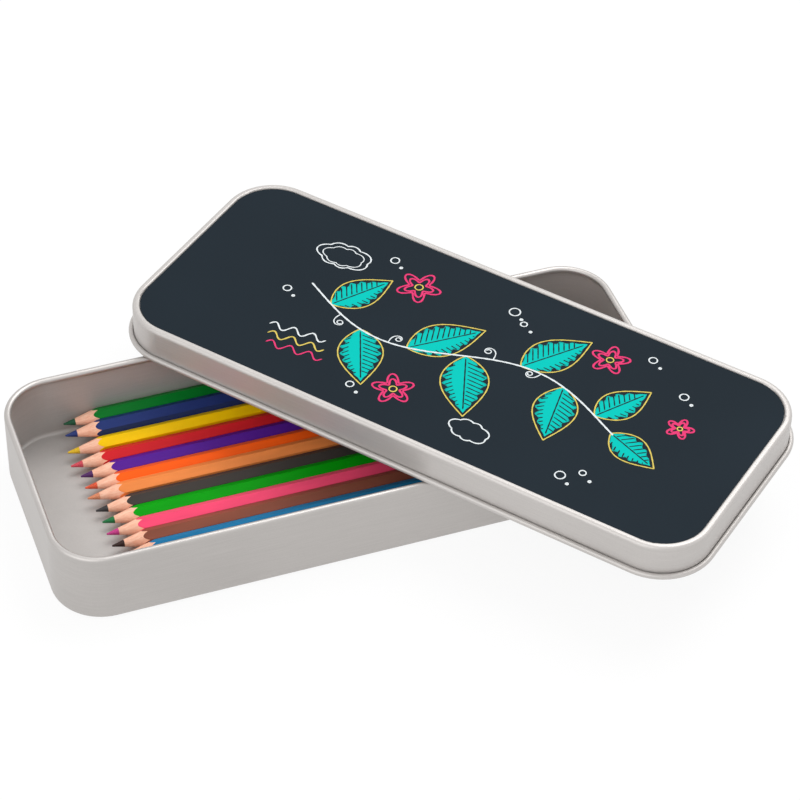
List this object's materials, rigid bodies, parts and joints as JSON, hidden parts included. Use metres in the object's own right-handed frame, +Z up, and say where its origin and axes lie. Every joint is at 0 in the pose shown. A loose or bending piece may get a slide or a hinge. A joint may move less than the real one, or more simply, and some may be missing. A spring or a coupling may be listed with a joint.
{
  "type": "colored pencil tin",
  "caption": "Rectangular tinplate tin with round corners and rolled rims, its slip-on lid lying turned across the open tray, and a row of sharpened hexagonal coloured pencils inside.",
  "frame": {"origin": "middle of the tray's footprint, on the plane that it stands on", "axes": "+X along the tray towards the pencils' flat ends, +Y towards the tray's rear wall where the row of pencils begins, +Z up"},
  "size_m": [0.2608, 0.2274, 0.0427],
  "materials": {
    "tinplate": "satin, finely brushed",
    "lid_tinplate": "satin, finely brushed",
    "panel_print": "matt dark slate print on aluminium",
    "adhesive": "matt film",
    "cedar": "bare sharpened wood",
    "dark_green_paint": "glossy lacquer",
    "dark_green_pigment": "waxy matt core",
    "dark_blue_paint": "glossy lacquer",
    "dark_blue_pigment": "waxy matt core",
    "yellow_paint": "glossy lacquer",
    "yellow_pigment": "waxy matt core",
    "red_paint": "glossy lacquer",
    "red_pigment": "waxy matt core",
    "purple_paint": "glossy lacquer",
    "purple_pigment": "waxy matt core",
    "orange_paint": "glossy lacquer",
    "orange_pigment": "waxy matt core",
    "peach_paint": "glossy lacquer",
    "peach_pigment": "waxy matt core",
    "black_paint": "glossy lacquer",
    "black_pigment": "waxy matt core",
    "light_green_paint": "glossy lacquer",
    "light_green_pigment": "waxy matt core",
    "pink_paint": "glossy lacquer",
    "pink_pigment": "waxy matt core",
    "brown_paint": "glossy lacquer",
    "brown_pigment": "waxy matt core",
    "light_blue_paint": "glossy lacquer",
    "light_blue_pigment": "waxy matt core"
  },
  "bodies": {
    "tray": {"tray": "tinplate"},
    "lid": {"lid_shell": "lid_tinplate", "lid_adhesive": "adhesive", "lid_panel": "panel_print"},
    "dark_green_pencil": {"dark_green_casing": "cedar", "dark_green_lacquer": "dark_green_paint", "dark_green_core": "dark_green_pigment"},
    "dark_blue_pencil": {"dark_blue_casing": "cedar", "dark_blue_lacquer": "dark_blue_paint", "dark_blue_core": "dark_blue_pigment"},
    "yellow_pencil": {"yellow_casing": "cedar", "yellow_lacquer": "yellow_paint", "yellow_core": "yellow_pigment"},
    "red_pencil": {"red_casing": "cedar", "red_lacquer": "red_paint", "red_core": "red_pigment"},
    "purple_pencil": {"purple_casing": "cedar", "purple_lacquer": "purple_paint", "purple_core": "purple_pigment"},
    "orange_pencil": {"orange_casing": "cedar", "orange_lacquer": "orange_paint", "orange_core": "orange_pigment"},
    "peach_pencil": {"peach_casing": "cedar", "peach_lacquer": "peach_paint", "peach_core": "peach_pigment"},
    "black_pencil": {"black_casing": "cedar", "black_lacquer": "black_paint", "black_core": "black_pigment"},
    "light_green_pencil": {"light_green_casing": "cedar", "light_green_lacquer": "light_green_paint", "light_green_core": "light_green_pigment"},
    "pink_pencil": {"pink_casing": "cedar", "pink_lacquer": "pink_paint", "pink_core": "pink_pigment"},
    "brown_pencil": {"brown_casing": "cedar", "brown_lacquer": "brown_paint", "brown_core": "brown_pigment"},
    "light_blue_pencil": {"light_blue_casing": "cedar", "light_blue_lacquer": "light_blue_paint", "light_blue_core": "light_blue_pigment"}
  },
  "joints": [
    {"name": "lid_lift", "type": "slide", "parent": "tray", "child": "lid", "axis": [0, 0, 1], "range_m": [0, 0.06]},
    {"name": "dark_green_slide", "type": "slide", "parent": "tray", "child": "dark_green_pencil", "axis": [1, 0, 0], "range_m": [-0.0147, 0.0138]},
    {"name": "dark_blue_slide", "type": "slide", "parent": "tray", "child": "dark_blue_pencil", "axis": [1, 0, 0], "range_m": [-0.0197, 0.0268]},
    {"name": "yellow_slide", "type": "slide", "parent": "tray", "child": "yellow_pencil", "axis": [1, 0, 0], "range_m": [-0.021, 0.0299]},
    {"name": "red_slide", "type": "slide", "parent": "tray", "child": "red_pencil", "axis": [1, 0, 0], "range_m": [-0.0204, 0.0305]},
    {"name": "purple_slide", "type": "slide", "parent": "tray", "child": "purple_pencil", "axis": [1, 0, 0], "range_m": [-0.0224, 0.0285]},
    {"name": "orange_slide", "type": "slide", "parent": "tray", "child": "orange_pencil", "axis": [1, 0, 0], "range_m": [-0.0224, 0.0285]},
    {"name": "peach_slide", "type": "slide", "parent": "tray", "child": "peach_pencil", "axis": [1, 0, 0], "range_m": [-0.0217, 0.0292]},
    {"name": "black_slide", "type": "slide", "parent": "tray", "child": "black_pencil", "axis": [1, 0, 0], "range_m": [-0.023, 0.0279]},
    {"name": "light_green_slide", "type": "slide", "parent": "tray", "child": "light_green_pencil", "axis": [1, 0, 0], "range_m": [-0.0237, 0.0272]},
    {"name": "pink_slide", "type": "slide", "parent": "tray", "child": "pink_pencil", "axis": [1, 0, 0], "range_m": [-0.0235, 0.0273]},
    {"name": "brown_slide", "type": "slide", "parent": "tray", "child": "brown_pencil", "axis": [1, 0, 0], "range_m": [-0.0239, 0.027]},
    {"name": "light_blue_slide", "type": "slide", "parent": "tray", "child": "light_blue_pencil", "axis": [1, 0, 0], "range_m": [-0.025, 0.0258]}
  ]
}
